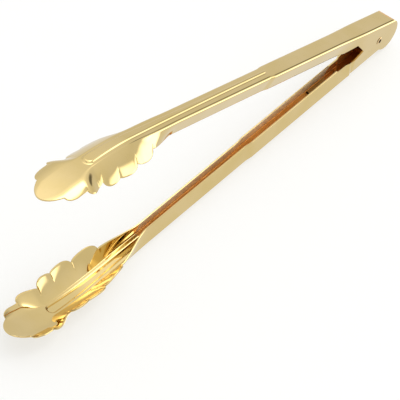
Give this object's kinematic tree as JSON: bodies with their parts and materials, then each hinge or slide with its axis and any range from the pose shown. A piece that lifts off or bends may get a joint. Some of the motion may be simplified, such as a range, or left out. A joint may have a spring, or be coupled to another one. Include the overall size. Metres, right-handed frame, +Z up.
{
  "type": "ice tongs",
  "caption": "Sprung serving tongs: ribbed channel arms of bent sheet with scalloped gripping heads, riveted at a hinge with a leaf spring.",
  "frame": {"origin": "middle of the bounding box in plan, on the level the tongs rest on", "axes": "+X along the lower arm from the hinge to the tips, +Y along the pivot, +Z up from the lower arm towards the upper arm"},
  "size_m": [0.4028, 0.0344, 0.1225],
  "materials": {
    "upper_arm": "mirror-polished gold-coated stainless",
    "lower_arm": "mirror-polished gold-coated stainless",
    "pivot_rivet": "polished gold-coated stainless",
    "leaf_spring": "rolled gold-coated spring strip"
  },
  "bodies": {
    "lower_body": {"lower_arm": "lower_arm", "pivot_rivet": "pivot_rivet", "leaf_spring": "leaf_spring"},
    "upper_body": {"upper_arm": "upper_arm"}
  },
  "joints": [
    {"name": "arm_pivot", "type": "hinge", "parent": "lower_body", "child": "upper_body", "pos_m": [-0.17902, 0, 0.0146], "axis": [0, 1, 0], "range_deg": [0, 15.5], "stiffness_Nm_per_rad": 0.6, "springref_deg": -40.11, "deforming": ["leaf_spring"]}
  ]
}
